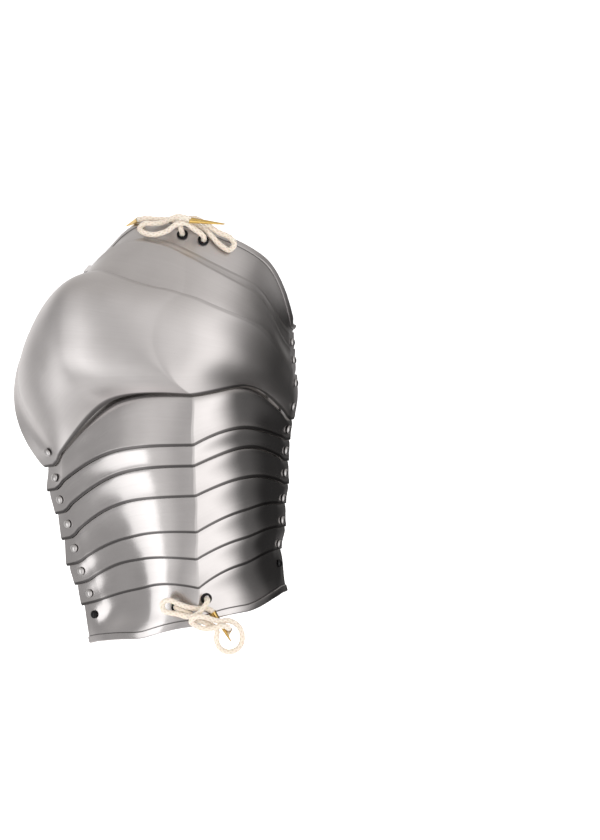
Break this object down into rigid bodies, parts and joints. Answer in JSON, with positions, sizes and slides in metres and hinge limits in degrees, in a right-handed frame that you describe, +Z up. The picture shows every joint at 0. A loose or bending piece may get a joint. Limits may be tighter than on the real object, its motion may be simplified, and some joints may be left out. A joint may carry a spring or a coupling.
{
  "type": "pauldron",
  "caption": "Articulated steel shoulder defence: a domed shoulder plate with three neck plates and seven arm lames on pivot rivets, laced cords in its eyelets.",
  "frame": {"origin": "under the middle of the box around everything but the cords and aglets, at the level of the plates' lower edges", "axes": "+Z up through the dome, +Y from the arm to the neck, +X to the wearer's front"},
  "size_m": [0.2504, 0.3811, 0.1131],
  "materials": {
    "steel": "satin, finely brushed",
    "rivet_steel": "polished",
    "blackened": "black, semi-gloss",
    "cotton": "undyed braided cotton",
    "brass": "plain",
    "leather": "dark, smooth"
  },
  "bodies": {
    "shoulder": {"shoulder": "steel", "rivet_collar_inner_front": "rivet_steel", "rivet_collar_inner_rear": "rivet_steel", "rivet_lame_1_front": "rivet_steel", "rivet_lame_1_rear": "rivet_steel"},
    "lame_1": {"lame_1": "steel", "rivet_lame_2_front": "rivet_steel", "rivet_lame_2_rear": "rivet_steel"},
    "lame_2": {"lame_2": "steel", "rivet_lame_3_front": "rivet_steel", "rivet_lame_3_rear": "rivet_steel"},
    "lame_3": {"lame_3": "steel", "rivet_lame_4_front": "rivet_steel", "rivet_lame_4_rear": "rivet_steel"},
    "lame_4": {"lame_4": "steel", "rivet_lame_5_front": "rivet_steel", "rivet_lame_5_rear": "rivet_steel"},
    "lame_5": {"lame_5": "steel", "rivet_lame_6_front": "rivet_steel", "rivet_lame_6_rear": "rivet_steel"},
    "lame_6": {"lame_6": "steel", "rivet_lame_7_front": "rivet_steel", "rivet_lame_7_rear": "rivet_steel"},
    "lame_7": {"lame_7": "steel", "aglet_hem_1": "brass", "aglet_hem_2": "brass", "arm_strap": "leather", "cord_hem": "cotton", "eyelet_hem_front": "blackened", "eyelet_hem_rear": "blackened", "strap_rivet_front": "blackened", "strap_rivet_rear": "blackened"},
    "collar_inner": {"collar_inner": "steel", "rivet_collar_middle_front": "rivet_steel", "rivet_collar_middle_rear": "rivet_steel"},
    "collar_middle": {"collar_middle": "steel", "rivet_collar_outer_front": "rivet_steel", "rivet_collar_outer_rear": "rivet_steel"},
    "collar_outer": {"collar_outer": "steel", "aglet_top_1": "brass", "aglet_top_2": "brass", "cord_top": "cotton", "eyelet_top_front": "blackened", "eyelet_top_rear": "blackened"}
  },
  "joints": [
    {"name": "pivot_lame_1", "type": "hinge", "parent": "shoulder", "child": "lame_1", "pos_m": [-0.09222, -0.01756, 0.0095], "axis": [0.9825, 0.1861, 0], "range_deg": [-4, 4]},
    {"name": "pivot_lame_2", "type": "hinge", "parent": "lame_1", "child": "lame_2", "pos_m": [-0.09022, -0.04056, 0.0095], "axis": [0.9796, 0.2012, 0], "range_deg": [-4, 4]},
    {"name": "pivot_lame_3", "type": "hinge", "parent": "lame_2", "child": "lame_3", "pos_m": [-0.08322, -0.05956, 0.0095], "axis": [0.9773, 0.2119, 0], "range_deg": [-4, 4]},
    {"name": "pivot_lame_4", "type": "hinge", "parent": "lame_3", "child": "lame_4", "pos_m": [-0.07722, -0.08106, 0.0095], "axis": [0.9735, 0.2286, 0], "range_deg": [-4, 4]},
    {"name": "pivot_lame_5", "type": "hinge", "parent": "lame_4", "child": "lame_5", "pos_m": [-0.07222, -0.10256, 0.0095], "axis": [0.9723, 0.2338, 0], "range_deg": [-4, 4]},
    {"name": "pivot_lame_6", "type": "hinge", "parent": "lame_5", "child": "lame_6", "pos_m": [-0.06422, -0.12206, 0.0095], "axis": [0.9696, 0.2445, 0], "range_deg": [-4, 4]},
    {"name": "pivot_lame_7", "type": "hinge", "parent": "lame_6", "child": "lame_7", "pos_m": [-0.05822, -0.14206, 0.0095], "axis": [0.967, 0.2549, 0], "range_deg": [-3.5, 4]},
    {"name": "pivot_collar_inner", "type": "hinge", "parent": "shoulder", "child": "collar_inner", "pos_m": [-0.08622, 0.10344, 0.0095], "axis": [0.9597, -0.2812, 0], "range_deg": [-4, 2]},
    {"name": "pivot_collar_middle", "type": "hinge", "parent": "collar_inner", "child": "collar_middle", "pos_m": [-0.07822, 0.11644, 0.0095], "axis": [0.9655, -0.2604, 0], "range_deg": [-4, 2]},
    {"name": "pivot_collar_outer", "type": "hinge", "parent": "collar_middle", "child": "collar_outer", "pos_m": [-0.06922, 0.12844, 0.0095], "axis": [0.9667, -0.2559, 0], "range_deg": [-4, 2]}
  ]
}
